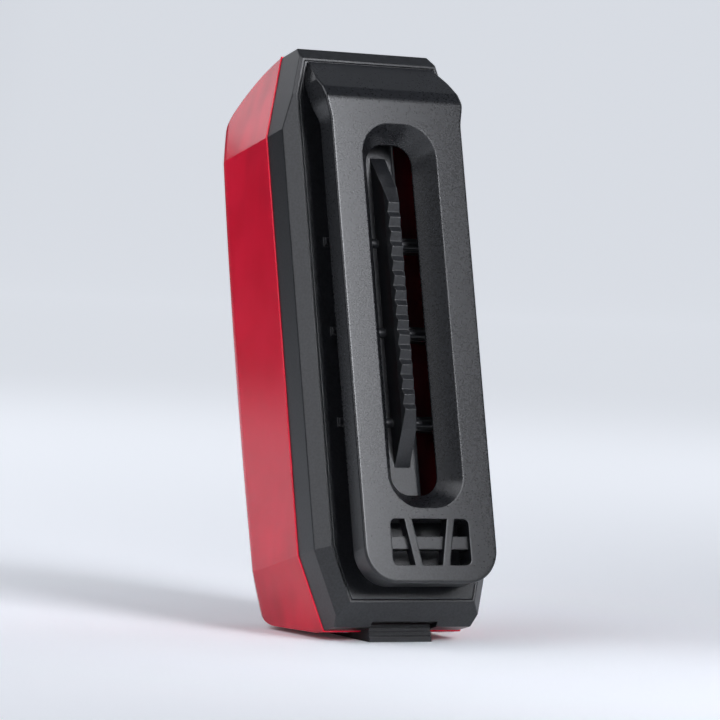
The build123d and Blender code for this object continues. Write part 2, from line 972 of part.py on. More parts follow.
def make_led_domes():
    """Clear domes on the LEDs."""
    front = led_board_front + led_height
    domes = []
    for z in led_levels():
        ball = Pos(0, -front, z) * Sphere(dome_radius)
        domes.append(ball & block(-led_size, led_size, front, front + led_size, z - led_size, z + led_size))
    return Compound(domes)


# Optics
def bowl(z):
    """One round bowl of the reflector."""
    back = (Plane.XZ.offset(led_board_front) * Pos(0, z) * Circle(bowl_back_radius)).face()
    front = (Plane.XZ.offset(reflector_front) * Pos(0, z) * Circle(bowl_front_radius)).face()
    return loft([back, front])


def make_reflector():
    half = led_board_half
    body = block(-half, half, led_board_front, reflector_front, led_board_low, led_board_high)
    for z in led_levels():
        body -= bowl(z)
    pocket = led_board_front + screw_head_height + head_slack
    for x, z in board_screw_places():
        body -= rod(x, z, screw_pocket_radius, led_board_front, pocket)
    return body


def make_diffuser():
    half = led_board_half - diffuser_inset
    front = reflector_front + diffuser_thickness
    return block(-half, half, reflector_front, front, diffuser_low, diffuser_high)


def make_side_guide(sign):
    """A light guide along one side wall of the lens, with its upper front corner rounded."""
    inner = led_board_half + guide_gap
    outer = inner + guide_thickness
    back = -chassis_front
    front = guide_front_gap - side_depth
    corner = guide_corner_share * (back - front)
    sides = Polyline(
        (back, guide_high), (back, guide_low), (front, guide_low + corner / 2), (front, guide_high - corner)
    )
    arc = RadiusArc((front, guide_high - corner), (front + corner, guide_high), corner)
    top = Line((front + corner, guide_high), (back, guide_high))
    sketch = make_face(Curve() + [sides, arc, top])
    guide = from_side(sketch, inner, outer)
    return guide if sign > 0 else mirror(guide, Plane.YZ)


# Socket and its cover
def make_usb_socket():
    sketch = RectangleRounded(socket_width, socket_thickness, socket_corner)
    inner = RectangleRounded(
        socket_width - 2 * socket_wall, socket_thickness - 2 * socket_wall, socket_corner - socket_wall
    )
    place = Pos(0, -socket_middle, socket_low)
    shell = extrude(place * sketch, amount=socket_height)
    hollow = extrude(place * inner, amount=socket_height - tongue_thickness)
    return shell - hollow


def make_socket_tongue():
    low = socket_low + tongue_drop
    high = socket_low + socket_height - tongue_thickness
    half = tongue_width / 2
    thick = tongue_thickness / 2
    return block(-half, half, socket_middle - thick, socket_middle + thick, low, high)


def cover_hinge():
    """Depth and height of the line that the rubber cover swings about."""
    depth = cover_end_depth - anchor_length - anchor_gap - hinge_radius()
    return depth, foot_level(depth) + hinge_radius() / math.cos(foot_angle())


def strip_thickness():
    """Thickness of the rubber strip near its hinge."""
    return cover_end_proud + channel_depth - strip_gap


def hinge_radius():
    return strip_thickness() / 2


def foot_prism(depth_back, depth_front):
    """Everything above the foot's flat underside between two depths."""
    high = body_top
    points = [
        (-depth_back, foot_level(depth_back)),
        (-depth_front, foot_level(depth_front)),
        (-depth_front, high),
        (-depth_back, high),
    ]
    return from_side(Polygon(*points, align=None), -body_width, body_width)


def bung():
    """The plug on the strip that closes the socket's opening."""
    sketch = RectangleRounded(
        socket_width + 2 * port_slack - 2 * bung_slack,
        socket_thickness + 2 * port_slack - 2 * bung_slack,
        bung_corner,
    )
    low = foot_level(socket_middle) + strip_thickness() / 2
    high = keel_level(socket_middle) + channel_depth + bung_rise
    return extrude(Pos(0, -socket_middle, low) * sketch, amount=high - low)


def make_port_cover():
    depth, level = cover_hinge()
    strip = cover_channel(0, strip_gap, tab_depth, depth) & foot_prism(tab_depth, depth)
    half = cover_strip_width / 2
    strip += Pos(0, -depth, level) * Rot(0, 90, 0) * Cylinder(hinge_radius(), cover_strip_width)
    strip += bung()
    groove_low = foot_level(tab_depth)
    for share in groove_shares:
        z = groove_low + share * (-bottom_drop + channel_depth - strip_gap - groove_low)
        line = Pos(0, -tab_depth, z) * Rot(0, 90, 0) * Cylinder(grip_groove / 2, 2 * half)
        strip -= line
    return strip


def upright_cylinder(depth, radius, z_low, z_high):
    """A vertical cylinder on the middle line at a depth."""
    height = z_high - z_low
    return Pos(0, -depth, z_low + height / 2) * Cylinder(radius, height)


def anchor_depth():
    """Depth of the plug's stem on the fixed end of the rubber cover."""
    return cover_end_depth - anchor_length + anchor_stem_inset


def anchor_head_low():
    """Height of the plug's head above the lens's sloping floor."""
    return keel_level(anchor_depth() + anchor_head_radius) + lens_wall + strip_gap


def anchor_hole():
    depth = anchor_depth()
    return upright_cylinder(depth, anchor_stem_radius + screw_slack, keel_level(0), anchor_head_low())


def make_cover_anchor():
    """The fixed end of the rubber cover, plugged into the lens's underside."""
    back = cover_end_depth - anchor_length
    block_part = cover_channel(0, strip_gap, back, cover_end_depth) & foot_prism(back, cover_end_depth)
    depth = anchor_depth()
    head_low = anchor_head_low()
    stem = upright_cylinder(depth, anchor_stem_radius, keel_level(depth), head_low)
    head = upright_cylinder(depth, anchor_head_radius, head_low, head_low + anchor_head_height)
    return block_part + stem + head


# Power button
def make_power_button():
    raised = Pos(0, 0, button_proud) * lens_form()
    shaft = button_shaft(0, flange_level - flange_thickness, body_top + overrun) & raised
    flange = button_shaft(flange_margin, flange_level - flange_thickness, flange_level)
    return shaft + flange


def make_button_seal():
    """A rubber collar between the lens's roof and the button's flange."""
    outer = button_shaft(flange_margin, flange_level + flange_gap, body_top)
    inner = button_shaft(seal_inner_slack, flange_level - overrun, body_top + overrun)
    return (outer - inner) & lens_form(lens_wall)


def plunger_low():
    return flange_level - flange_thickness - plunger_length


def make_button_plunger():
    return upright_cylinder(button_middle, plunger_radius, plunger_low(), plunger_low() + plunger_length)


def make_tact_switch():
    top = plunger_low() - button_travel - switch_spare
    half = switch_width / 2
    low = top - switch_height
    shoulder = top - switch_stem_height
    body = block(-half, half, board_front, board_front + switch_depth, low, shoulder)
    return body + upright_cylinder(button_middle, stem_radius, shoulder, top)


# The light leans forward until the foot's underside is level, and the middle of that underside
# comes to the origin
def stand(shape):
    middle = (tab_depth + cover_end_depth) / 2
    moved = Pos(0, middle, -foot_level(middle)) * shape
    return Rot(math.degrees(foot_angle()), 0, 0) * moved


def main():
    os.makedirs("parts", exist_ok=True)
    nodes = {
        "lens": make_lens(),
        "rear_housing": make_rear_housing(),
        "back_frame": make_back_frame(),
        "belt_clip": make_belt_clip(),
        "inner_cover": make_inner_cover(),
        "body_gasket": make_body_gasket(),
        "cover_screws": make_cover_screws(),
        "chassis_screws": make_chassis_screws(),
        "board_screws": make_board_screws(),
        "battery": make_battery(),
        "battery_pad": make_battery_pad(),
        "battery_plug": make_battery_plug(),
        "battery_lead_red": make_battery_lead(lead_side),
        "battery_lead_black": make_battery_lead(-lead_side),
        "chassis": make_chassis(),
        "main_board": make_main_board(),
        "board_chips": make_board_chips(),
        "board_header": make_board_header(),
        "board_spacers": make_board_spacers(),
        "led_board": make_led_board(),
        "leds": make_leds(),
        "led_domes": make_led_domes(),
        "reflector": make_reflector(),
        "diffuser": make_diffuser(),
        "side_guide_right": make_side_guide(-1),
        "side_guide_left": make_side_guide(1),
        "usb_socket": make_usb_socket(),
        "socket_tongue": make_socket_tongue(),
        "port_cover": make_port_cover(),
        "cover_anchor": make_cover_anchor(),
        "power_button": make_power_button(),
        "button_seal": make_button_seal(),
        "button_plunger": make_button_plunger(),
        "tact_switch": make_tact_switch(),
    }
    for name, shape in nodes.items():
        export_step(stand(shape), f"parts/{name}.step")


main()
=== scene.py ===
import math
import bmesh
import bpy
from mathutils import Matrix, Vector


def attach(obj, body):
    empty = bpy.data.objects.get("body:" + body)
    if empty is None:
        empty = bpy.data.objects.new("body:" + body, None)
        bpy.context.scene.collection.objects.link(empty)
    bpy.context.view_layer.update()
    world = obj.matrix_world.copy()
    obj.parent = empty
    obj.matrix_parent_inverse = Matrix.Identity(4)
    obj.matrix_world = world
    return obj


# A bike rear light seen from behind, leaning forward on its sloping rubber foot.
# Lengths in the dictionaries are metres unless a name says millimetres.

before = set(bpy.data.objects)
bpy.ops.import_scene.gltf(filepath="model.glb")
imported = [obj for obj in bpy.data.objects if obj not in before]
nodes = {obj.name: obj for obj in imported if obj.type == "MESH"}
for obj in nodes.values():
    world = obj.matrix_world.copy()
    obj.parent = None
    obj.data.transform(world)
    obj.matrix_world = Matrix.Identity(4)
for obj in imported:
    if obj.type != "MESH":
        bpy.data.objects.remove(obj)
scene = bpy.context.scene
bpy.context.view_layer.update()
print("stage: frame loaded with", len(nodes), "nodes")


# The light is drawn upright, then leaned forward on its sloping foot
drawn = {"leanDegrees": 14.766, "shiftDepth": 0.0158, "shiftHeight": 0.0023478, "seam": 0.0069}
bodyTurn = Matrix.Rotation(math.radians(drawn["leanDegrees"]), 3, "X")
rearward = bodyTurn @ Vector((0, 1, 0))  # from the lens to the clip, square to the light's back


def bodyPoint(x, y, z):
    return bodyTurn @ Vector((x, y + drawn["shiftDepth"], z + drawn["shiftHeight"]))


# Camera: a long lens from behind and a little to the left, turned slightly about its own axis
cameraSettings = {
    "position": (0.2937, 0.5325, 0.0592),
    "target": (0.0062, 0.0061, 0.0419),
    "rollDegrees": 2.65,
    "lensMillimetres": 200,
    "sensorMillimetres": 36,
    "farthest": 20,
}


def aimedAt(position, target):
    turn = (target - position).to_track_quat("-Z", "Y").to_matrix().to_4x4()
    return Matrix.Translation(position) @ turn


def addCamera(settings):
    data = bpy.data.cameras.new("cameraRear")
    data.lens = settings["lensMillimetres"]
    data.sensor_width = settings["sensorMillimetres"]
    data.clip_end = settings["farthest"]
    camera = bpy.data.objects.new("cameraRear", data)
    scene.collection.objects.link(camera)
    position = Vector(settings["position"])
    roll = Matrix.Rotation(math.radians(settings["rollDegrees"]), 4, "Z")
    camera.matrix_world = aimedAt(position, Vector(settings["target"])) @ roll
    scene.camera = camera
    print("stage: camera with a", settings["lensMillimetres"], "mm lens")


# Colours and nodes
def linearColour(hexCode):
    channels = [int(hexCode[i:i + 2], 16) / 255 for i in (1, 3, 5)]
    return [c / 12.92 if c <= 0.04045 else ((c + 0.055) / 1.055) ** 2.4 for c in channels] + [1]


def perMetre(millimetres):
    return 1000 / millimetres


# An input's value is a socket to link, a hex colour or a plain value, and the first output in use
# is returned unless another is named
def addNode(tree, kind, inputs=None, output=None, **settings):
    new = tree.nodes.new("ShaderNode" + kind)
    for name, value in settings.items():
        setattr(new, name, value)
    for name, value in (inputs or {}).items():
        if isinstance(name, int):
            socket = new.inputs[name]
        else:
            socket = next(s for s in new.inputs if s.enabled and s.name == name)
        if isinstance(value, bpy.types.NodeSocket):
            tree.links.new(value, socket)
        else:
            socket.default_value = linearColour(value) if isinstance(value, str) else value
    return next((s for s in new.outputs if s.enabled and output in (None, s.name)), None)


def startFinish(name):
    material = bpy.data.materials.new(name)
    material.use_nodes = True
    tree = material.node_tree
    tree.nodes.clear()
    return material, tree, addNode(tree, "TexCoord", output="Object")


def closeFinish(material, shaderInputs):
    shader = addNode(material.node_tree, "BsdfPrincipled", shaderInputs)
    addNode(material.node_tree, "OutputMaterial", {"Surface": shader})
    return material


def mixedTones(tree, pattern, tones):
    return addNode(tree, "Mix", {"Factor": pattern, "A": tones[0], "B": tones[1]}, data_type="RGBA")


edgeSamples = 6  # how finely the turn of an edge's shading is worked out


# A pattern raised by a height. Where an edge width is given, the shading turns over that width,
# because moulded edges are never quite sharp.
def raisedPattern(tree, pattern, millimetres, edgeMillimetres=0):
    inputs = {"Height": pattern, "Distance": millimetres / 1000, "Strength": 1.0}
    if edgeMillimetres:
        width = edgeMillimetres / 1000
        inputs["Normal"] = addNode(tree, "Bevel", {"Radius": width}, samples=edgeSamples)
    return addNode(tree, "Bump", inputs)


# Black ABS, moulded in a spark-eroded tool: an even matt grain that sparkles where it is lit.
# The grain is drawn coarser than a tool leaves it, so that it shows.
absLooks = {
    "sparkErodedAbsClip": {
        "tones": ("#0B0C0E", "#191A1D"), "grainMillimetres": 0.32, "grainHeight": 0.005,
        "roughness": 0.28, "edgeMillimetres": 0.25,
    },
    "sparkErodedAbsHousing": {
        "tones": ("#0C0D0F", "#1E1F22"), "grainMillimetres": 0.34, "grainHeight": 0.008,
        "roughness": 0.33, "edgeMillimetres": 0.18,
    },
    "sparkErodedAbsFrame": {
        "tones": ("#0E0F11", "#1E1F22"), "grainMillimetres": 0.3, "grainHeight": 0.012,
        "roughness": 0.3, "edgeMillimetres": 0.22,
    },
}
absShared = {
    "ior": 1.54,
    "flowMillimetres": 25.0,
    "speckleSpan": (0.38, 0.62),
    "unevenSpan": (0.7, 1.3),
    "unevenness": 0.02,
}


def mouldedAbs(name):
    look = absLooks[name]
    material, tree, place = startFinish(name)
    fine = addNode(tree, "TexNoise", {"Vector": place, "Scale": perMetre(look["grainMillimetres"])})
    flow = addNode(tree, "TexNoise", {
        "Vector": place, "Scale": perMetre(absShared["flowMillimetres"]),
    })
    speckle = addNode(tree, "MapRange", {
        "Value": fine,
        "From Min": absShared["speckleSpan"][0], "From Max": absShared["speckleSpan"][1],
    })
    uneven = addNode(tree, "Math", {0: flow, 1: fine}, operation="ADD")
    return closeFinish(material, {
        "IOR": absShared["ior"],
        "Base Color": mixedTones(tree, speckle, look["tones"]),
        "Roughness": addNode(tree, "MapRange", {
            "Value": uneven,
            "From Min": absShared["unevenSpan"][0], "From Max": absShared["unevenSpan"][1],
            "To Min": look["roughness"] - absShared["unevenness"],
            "To Max": look["roughness"] + absShared["unevenness"],
        }),
        "Normal": raisedPattern(tree, fine, look["grainHeight"], look["edgeMillimetres"]),
    })


# Red polycarbonate, moulded and polished: clear, deep red and clearest at the front, with streaks
# of painted shade at its top and bottom. Heights and depths are in metres.
lensLook = {
    "ior": 1.5,
    "roughness": 0.1,
    "tones": ("#E80C35", "#F6183F"),
    "toneMillimetres": 14.0,
    "toneDetail": 3.0,
    "toneSpan": (0.35, 0.65),
    # painted shade: a darker red laid in streaks at the lens's top and bottom
    "paintedShadeTone": "#6E0A1E",
    "paintedShadeMillimetres": 5.0,
    "paintedShadeDetail": 1.0,
    "paintedShadeStretch": (1, 1, 0.4),
    "paintedShadeSpan": (0.42, 0.68),
    "paintedShadeStrength": 0.4,
    "paintedShadeAbove": (0.058, 0.08),
    "paintedShadeBelow": (0.024, 0.004),
    "paintedShadeBelowShare": 0.8,
    "clearDepth": (-0.022, -0.029),
    "clearness": (0.3, 0.85),
    "dustMillimetres": 1.2,
    "dustHeight": 0.002,
    "edgeMillimetres": 0.25,
}


def polishedPolycarbonate(look):
    material, tree, place = startFinish("polishedPolycarbonate")
    haze = addNode(tree, "TexNoise", {
        "Vector": place, "Scale": perMetre(look["toneMillimetres"]),
        "Detail": look["toneDetail"],
    })
    tone = addNode(tree, "MapRange", {
        "Value": haze, "From Min": look["toneSpan"][0], "From Max": look["toneSpan"][1],
    })
    # painted shade, darkening the red in streaks towards the lens's top and bottom
    height = addNode(tree, "SeparateXYZ", {"Vector": place}, "Z")
    above = addNode(tree, "MapRange", {
        "Value": height, "From Min": look["paintedShadeAbove"][0], "From Max": look["paintedShadeAbove"][1],
    })
    below = addNode(tree, "MapRange", {
        "Value": height, "From Min": look["paintedShadeBelow"][0], "From Max": look["paintedShadeBelow"][1],
        "To Max": look["paintedShadeBelowShare"],
    })
    ends = addNode(tree, "Math", {0: above, 1: below}, operation="MAXIMUM")
    streaked = addNode(tree, "Mapping", {"Vector": place, "Scale": look["paintedShadeStretch"]})
    paintedShade = addNode(tree, "TexNoise", {
        "Vector": streaked, "Scale": perMetre(look["paintedShadeMillimetres"]),
        "Detail": look["paintedShadeDetail"],
    })
    veil = addNode(tree, "MapRange", {
        "Value": paintedShade, "From Min": look["paintedShadeSpan"][0], "From Max": look["paintedShadeSpan"][1],
        "To Max": look["paintedShadeStrength"],
    })
    paintedShadeMask = addNode(tree, "Math", {0: ends, 1: veil}, operation="MULTIPLY")
    clear = mixedTones(tree, tone, look["tones"])
    depth = addNode(tree, "VectorMath", {0: place, 1: rearward}, operation="DOT_PRODUCT")
    dust = addNode(tree, "TexNoise", {"Vector": place, "Scale": perMetre(look["dustMillimetres"])})
    return closeFinish(material, {
        "IOR": look["ior"],
        "Roughness": look["roughness"],
        "Base Color": mixedTones(tree, paintedShadeMask, (clear, look["paintedShadeTone"])),
        "Transmission Weight": addNode(tree, "MapRange", {
            "Value": depth,
            "From Min": drawn["shiftDepth"] + look["clearDepth"][0],
            "From Max": drawn["shiftDepth"] + look["clearDepth"][1],
            "To Min": look["clearness"][0], "To Max": look["clearness"][1],
        }),
        "Normal": raisedPattern(tree, dust, look["dustHeight"], look["edgeMillimetres"]),
    })


# Plainer finishes, each with one grain that mixes its two tones. "roughness" is the range that the
# grain gives, "grainHeight" raises that grain, and "skin" is a second, raised grain on the surface.
# Sizes and heights are millimetres; grains under 0.3 are drawn as coarse as they need to show.
finishLooks = {
    # The lens's red polycarbonate at its cut edge, with a faint painted glow
    "edgePolycarbonate": {
        "shader": {
            "IOR": 1.5, "Roughness": 0.15, "Emission Color": "#FF2346", "Emission Strength": 0.05,
        },
        "tones": ("#D00A2C", "#FF1E40"), "grain": 2.0,
    },
    # Red polycarbonate with an even inner texture, as moulded
    "satinPolycarbonate": {
        "shader": {"IOR": 1.58, "Transmission Weight": 0.25, "Roughness": 0.3},
        "tones": ("#4E060E", "#640A14"), "grain": 6.0, "skin": 0.4, "skinHeight": 0.006,
    },
    # Black silicone rubber, moulded: very matt, with a soft dusty sheen
    "mouldedRubber": {
        "shader": {"IOR": 1.41, "Roughness": 0.62, "Sheen Weight": 0.15, "Sheen Roughness": 0.5},
        "tones": ("#161618", "#26262A"), "grain": 2.5, "detail": 4.0, "toneSpan": (0.45, 0.75),
        "skin": 0.3, "skinHeight": 0.01,
    },
    # Zinc plated steel, cold headed: bright, with fine turning lines
    "platedSteel": {
        "shader": {"Metallic": 1.0}, "tones": ("#8F9296", "#B9BCC0"), "grain": 0.25, "detail": 3.0,
        "roughness": (0.25, 0.4),
    },
    # Nickel plated steel sheet, drawn: smoother and a little warmer
    "drawnSteel": {
        "shader": {"Metallic": 1.0}, "tones": ("#A9A8A4", "#CFCDC8"), "grain": 0.2,
        "stretch": (1, 1, 0.08), "roughness": (0.16, 0.28),
    },
    # Aluminium laminate foil, heat sealed round the cell: soft creases and a satin shine
    "pouchFoil": {
        "shader": {"Metallic": 0.85, "Roughness": 0.32}, "tones": ("#B4B8BC", "#D2D5D8"),
        "grain": 5.0, "detail": 4.0, "harshness": 0.6, "grainHeight": 0.12,
    },
    # Brass, turned: rings of fine tool marks
    "turnedBrass": {
        "shader": {"Metallic": 1.0}, "tones": ("#B8923E", "#D8B865"), "grain": 0.15,
        "roughness": (0.22, 0.38),
    },
    # White ceramic carrier with the yellow phosphor under its dome
    "phosphorCeramic": {
        "shader": {"IOR": 1.6, "Roughness": 0.4}, "tones": ("#E8E0C4", "#F2EEDF"), "grain": 0.2,
    },
    # Clear silicone, cast over the chip: water-clear with a soft skin
    "castSilicone": {
        "shader": {"IOR": 1.41, "Transmission Weight": 1.0, "Base Color": "#FFF4EA"},
        "grain": 0.8, "roughness": (0.03, 0.1),
    },
    # Polycarbonate, moulded and metallised in vacuum: mirror bright with a slight orange peel
    "metallisedPlastic": {
        "shader": {"Metallic": 1.0}, "tones": ("#E4E5E8", "#F0F1F3"), "grain": 1.5,
        "roughness": (0.1, 0.2), "grainHeight": 0.01,
    },
    # Acrylic, moulded: frosted for the diffuser and clearer for the light guides
    "frostedAcrylic": {
        "shader": {"IOR": 1.49, "Transmission Weight": 0.6, "Roughness": 0.5},
        "tones": ("#F3D5DA", "#FFE9EC"), "grain": 3.0, "detail": 4.0,
        "skin": 0.25, "skinHeight": 0.004,
    },
    "clearAcrylic": {
        "shader": {"IOR": 1.49, "Transmission Weight": 0.45, "Roughness": 0.18},
        "tones": ("#F6C9D0", "#FFE9EC"), "grain": 3.0, "detail": 4.0,
        "skin": 0.25, "skinHeight": 0.004,
    },
}

# Moulded or extruded plastics inside the light, each in its own tones with light flow marks
plainPlastics = {
    "mouldedNylon": (("#D8D4C8", "#E8E5DB"), 0.45),
    "mouldedEpoxy": (("#131314", "#1D1D1F"), 0.5),
    "mouldedGreyAbs": (("#4A4C50", "#585A5E"), 0.5),
    "mouldedSwitchGrey": (("#3E4044", "#4C4E52"), 0.45),
    "extrudedPvcRed": (("#A01018", "#B81E24"), 0.4),
    "extrudedPvcBlack": (("#101011", "#1A1A1C"), 0.4),
}
for plasticName, (plasticTones, plasticRoughness) in plainPlastics.items():
    finishLooks[plasticName] = {
        "shader": {"IOR": 1.5, "Roughness": plasticRoughness}, "tones": plasticTones,
        "grain": 4.0, "detail": 3.0, "skin": 0.3, "skinHeight": 0.006,
    }

noiseSpan = (0.3, 0.7)  # where most of a noise's values lie


def grainedFinish(name):
    look = finishLooks[name]
    material, tree, place = startFinish(name)
    along = place
    if "stretch" in look:
        along = addNode(tree, "Mapping", {"Vector": place, "Scale": look["stretch"]})
    grain = addNode(tree, "TexNoise", {
        "Vector": along, "Scale": perMetre(look["grain"]), "Detail": look.get("detail", 2.0),
        "Roughness": look.get("harshness", 0.5),
    })
    shaderInputs = dict(look["shader"])
    pattern = grain
    if "toneSpan" in look:
        pattern = addNode(tree, "MapRange", {
            "Value": grain, "From Min": look["toneSpan"][0], "From Max": look["toneSpan"][1],
        })
    if "tones" in look:
        shaderInputs["Base Color"] = mixedTones(tree, pattern, look["tones"])
    if "roughness" in look:
        shaderInputs["Roughness"] = addNode(tree, "MapRange", {
            "Value": grain, "From Min": noiseSpan[0], "From Max": noiseSpan[1],
            "To Min": look["roughness"][0], "To Max": look["roughness"][1],
        })
    if "grainHeight" in look:
        shaderInputs["Normal"] = raisedPattern(tree, grain, look["grainHeight"])
    if "skin" in look:
        skin = addNode(tree, "TexNoise", {"Vector": place, "Scale": perMetre(look["skin"])})
        shaderInputs["Normal"] = raisedPattern(tree, skin, look["skinHeight"])
    return closeFinish(material, shaderInputs)


# Closed-cell foam, cut from sheet: pores a third of a millimetre wide
foamLook = {
    "tones": ("#2A2B2D", "#4A4B4E"), "poreMillimetres": 0.35, "poreDepth": 0.08, "roughness": 0.95,
}


def cutFoam(look):
    material, tree, place = startFinish("cutFoam")
    pores = addNode(tree, "TexVoronoi", {
        "Vector": place, "Scale": perMetre(look["poreMillimetres"]),
    })
    return closeFinish(material, {
        "Roughness": look["roughness"],
        "Base Color": mixedTones(tree, pores, look["tones"]),
        "Normal": raisedPattern(tree, pores, look["poreDepth"]),
    })


# Glass-epoxy board under solder mask: copper tracks show as slightly raised, paler lanes that run
# up the leaning board
boardLooks = {
    "maskedBoardGreen": ("#12402A", "#1E6A44"),
    "maskedBoardWhite": ("#DADCDD", "#EEEFEF"),
}
boardShared = {
    "ior": 1.5,
    "roughness": 0.3,
    "tiltDegrees": -14.8,
    "laneStretch": (1, 1, 0.35),
    "laneMillimetres": 1.8,
    "laneSpan": (0.42, 0.46),
    "trackHeight": 0.03,
}


def maskedBoard(name):
    material, tree, place = startFinish(name)
    turned = addNode(tree, "Mapping", {
        "Vector": place, "Rotation": (math.radians(boardShared["tiltDegrees"]), 0, 0),
        "Scale": boardShared["laneStretch"],
    })
    lanes = addNode(tree, "TexVoronoi", {
        "Vector": turned, "Scale": perMetre(boardShared["laneMillimetres"]),
    }, distance="MANHATTAN")
    tracks = addNode(tree, "MapRange", {
        "Value": lanes,
        "From Min": boardShared["laneSpan"][0], "From Max": boardShared["laneSpan"][1],
    })
    return closeFinish(material, {
        "IOR": boardShared["ior"],
        "Roughness": boardShared["roughness"],
        "Base Color": mixedTones(tree, tracks, boardLooks[name]),
        "Normal": raisedPattern(tree, tracks, boardShared["trackHeight"]),
    })


# Which finish each node wears
nodeFinishes = {
    "lens": "polishedPolycarbonate",
    "rear_housing": "sparkErodedAbsHousing",
    "back_frame": "sparkErodedAbsFrame",
    "belt_clip": "sparkErodedAbsClip",
    "inner_cover": "satinPolycarbonate",
    "body_gasket": "mouldedRubber",
    "cover_screws": "platedSteel",
    "chassis_screws": "platedSteel",
    "board_screws": "platedSteel",
    "battery": "pouchFoil",
    "battery_pad": "cutFoam",
    "battery_plug": "mouldedNylon",
    "battery_lead_red": "extrudedPvcRed",
    "battery_lead_black": "extrudedPvcBlack",
    "chassis": "mouldedGreyAbs",
    "main_board": "maskedBoardGreen",
    "board_chips": "mouldedEpoxy",
    "board_header": "mouldedNylon",
    "board_spacers": "turnedBrass",
    "led_board": "maskedBoardWhite",
    "leds": "phosphorCeramic",
    "led_domes": "castSilicone",
    "reflector": "metallisedPlastic",
    "diffuser": "frostedAcrylic",
    "side_guide_right": "clearAcrylic",
    "side_guide_left": "clearAcrylic",
    "usb_socket": "drawnSteel",
    "socket_tongue": "mouldedEpoxy",
    "port_cover": "mouldedRubber",
    "cover_anchor": "mouldedRubber",
    "power_button": "mouldedRubber",
    "button_seal": "mouldedRubber",
    "button_plunger": "mouldedGreyAbs",
    "tact_switch": "mouldedSwitchGrey",
}


def makeFinish(name):
    if name in absLooks:
        return mouldedAbs(name)
    if name in boardLooks:
        return maskedBoard(name)
    if name == "polishedPolycarbonate":
        return polishedPolycarbonate(lensLook)
    if name == "cutFoam":
        return cutFoam(foamLook)
    return grainedFinish(name)


def dressNodes():
    made = {}
    for name, finish in nodeFinishes.items():
        if finish not in made:
            made[finish] = makeFinish(finish)
        for slot in nodes[name].material_slots:
            slot.material = made[finish]
    print("stage:", len(made), "finishes on", len(nodeFinishes), "nodes")


# The lens's pressed edge: a thin bead of clear red all round, where it meets the black housing
beadSettings = {
    "radius": 0.0002,
    "roundness": 3,
    "ahead": 0.0001,
    "cutTolerance": 0.000001,
    "mergeDistance": 0.000002,
}


# The closed lines in which a plane cuts a shape
def sectionLoops(shape, place, direction, tolerance):
    cut = bmesh.ops.bisect_plane(
        shape, geom=shape.verts[:] + shape.edges[:] + shape.faces[:], dist=tolerance,
        plane_co=place, plane_no=direction, clear_inner=True, clear_outer=True,
    )
    left = {e: None for e in cut["geom_cut"] if isinstance(e, bmesh.types.BMEdge)}
    loops = []
    while left:
        edge = next(iter(left))
        del left[edge]
        start, tip = edge.verts
        loop = [start, tip]
        while tip is not start:
            onward = [e for e in tip.link_edges if e in left]
            if not onward:
                break
            del left[onward[0]]
            tip = onward[0].other_vert(tip)
            loop.append(tip)
        loops.append([v.co.copy() for v in loop[:-1]])
    return loops


def loopSpan(loop):
    across = [point.x for point in loop]
    upward = [point.z for point in loop]
    return max(across) - min(across) + max(upward) - min(upward)


def addSeamBead(settings):
    shape = bmesh.new()
    shape.from_mesh(nodes["lens"].data)
    bmesh.ops.remove_doubles(shape, verts=shape.verts, dist=settings["mergeDistance"])
    place = bodyPoint(0, -drawn["seam"] - settings["ahead"], 0)
    loops = sectionLoops(shape, place, rearward, settings["cutTolerance"])
    loop = max(loops, key=loopSpan)  # the outer line is the widest
    shape.free()
    wire = bpy.data.curves.new("lensSeamBead", "CURVE")
    wire.dimensions = "3D"
    wire.bevel_depth = settings["radius"]
    wire.bevel_resolution = settings["roundness"]
    line = wire.splines.new("POLY")
    line.points.add(len(loop) - 1)
    for point, corner in zip(line.points, loop):
        point.co = (*corner, 1)
    line.use_cyclic_u = True
    holder = bpy.data.objects.new("lensSeamBeadWire", wire)
    bead = bpy.data.objects.new("lensSeamBead", bpy.data.meshes.new_from_object(holder))
    bpy.data.objects.remove(holder)
    scene.collection.objects.link(bead)
    bead.data.materials.clear()
    bead.data.materials.append(grainedFinish("edgePolycarbonate"))
    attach(bead, "housing")
    print("stage: seam bead with", len(loop), "corners")


# Floor and backdrop: one pale sweep that rises behind the light. Its glow is there for what sees
# it and lights nothing. It grows with the distance from the light over glowReach, and to the side,
# between the two values of glowHalfWidth, it sinks to the share glowBeside.
floorSettings = {
    "width": 8.0,
    "front": 4.0,
    "depth": 3.0,
    "height": 3.0,
    "sweepRadius": 1.2,
    "sweepSteps": 24,
    "mergeDistance": 0.0001,
    "tones": ("#EAECF0", "#E7E9ED"),
    "cloudMillimetres": 400.0,
    "roughness": 0.7,
    "glowColour": "#E4E8EF",
    "glow": 0.8,
    "glowReach": 0.3,
    "glowHalfWidth": (0.35, 1.1),
    "glowBeside": 0.12,
}


